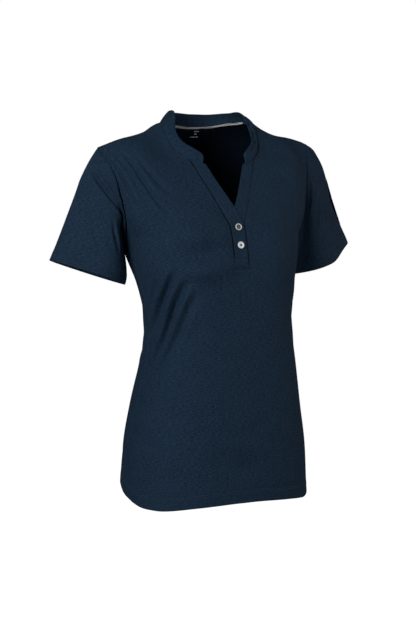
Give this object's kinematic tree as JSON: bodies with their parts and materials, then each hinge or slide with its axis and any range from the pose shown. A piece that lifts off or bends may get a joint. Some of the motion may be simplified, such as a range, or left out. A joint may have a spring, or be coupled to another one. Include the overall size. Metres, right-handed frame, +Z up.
{
  "type": "polo shirt",
  "caption": "Short-sleeve women's polo shirt in navy heather jersey, with a band collar and an open buttoned placket, standing hollow as worn.",
  "frame": {"origin": "midway between the two neck points, at the height where the shoulders of the wearer carry the shirt", "axes": "+Z up the wearer's back, +X towards the wearer's left, -Y the way the front faces"},
  "size_m": [0.5637, 0.2203, 0.6416],
  "materials": {
    "jersey": "navy heather knit jersey, soft and slightly lustrous",
    "tape": "greige woven neck tape",
    "button": "pearly grey polished resin"
  },
  "bodies": {
    "root": {"front": "jersey", "back": "jersey", "sleeve_right": "jersey", "sleeve_left": "jersey", "collar_band": "jersey", "placket_over": "jersey", "placket_under": "jersey", "neck_tape": "tape", "button_upper": "button", "button_lower": "button"}
  },
  "joints": []
}
